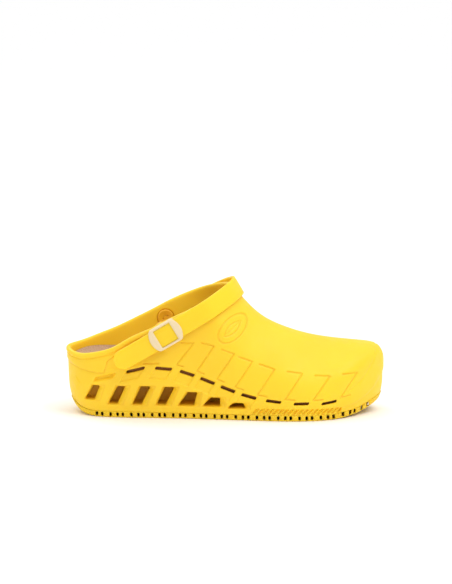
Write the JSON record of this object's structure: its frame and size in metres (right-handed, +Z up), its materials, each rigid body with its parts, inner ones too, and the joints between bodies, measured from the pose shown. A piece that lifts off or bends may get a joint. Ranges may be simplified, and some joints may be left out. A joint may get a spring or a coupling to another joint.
{
  "type": "rubber work clog",
  "caption": "Moulded clog for the right foot: arched shell on an openwork wedge sole, removable footbed, ribbed tread and a swivelling heel strap with a slider buckle.",
  "frame": {"origin": "on the ground, under the middle of the clog's overall length and width", "axes": "+X to the toe, +Y to the inner (medial) side of the foot, +Z up"},
  "size_m": [0.2746, 0.1001, 0.1181],
  "materials": {
    "shell": "moulded, satin",
    "tread": "moulded, matt",
    "footbed": "speckled foam",
    "footbed_cover": "woven lining",
    "cushion": "soft gel",
    "buckle": "moulded, satin",
    "pin": "moulded",
    "washer": "moulded",
    "button": "moulded, satin"
  },
  "bodies": {
    "clog": {"upper_shell": "shell", "cage_sole": "shell", "outsole": "tread", "insole_base": "footbed", "insole_cover": "footbed_cover", "heel_cushion": "cushion", "lateral_pin": "pin", "lateral_washer": "washer", "lateral_button": "button", "medial_pin": "button", "medial_washer": "washer", "medial_button": "button"},
    "strap": {"strap": "shell", "buckle": "buckle"}
  },
  "joints": [
    {"name": "strap_swing", "type": "hinge", "parent": "clog", "child": "strap", "pos_m": [-0.053, 0, 0.0765], "axis": [0, -1, 0], "range_deg": [0, 115]}
  ]
}
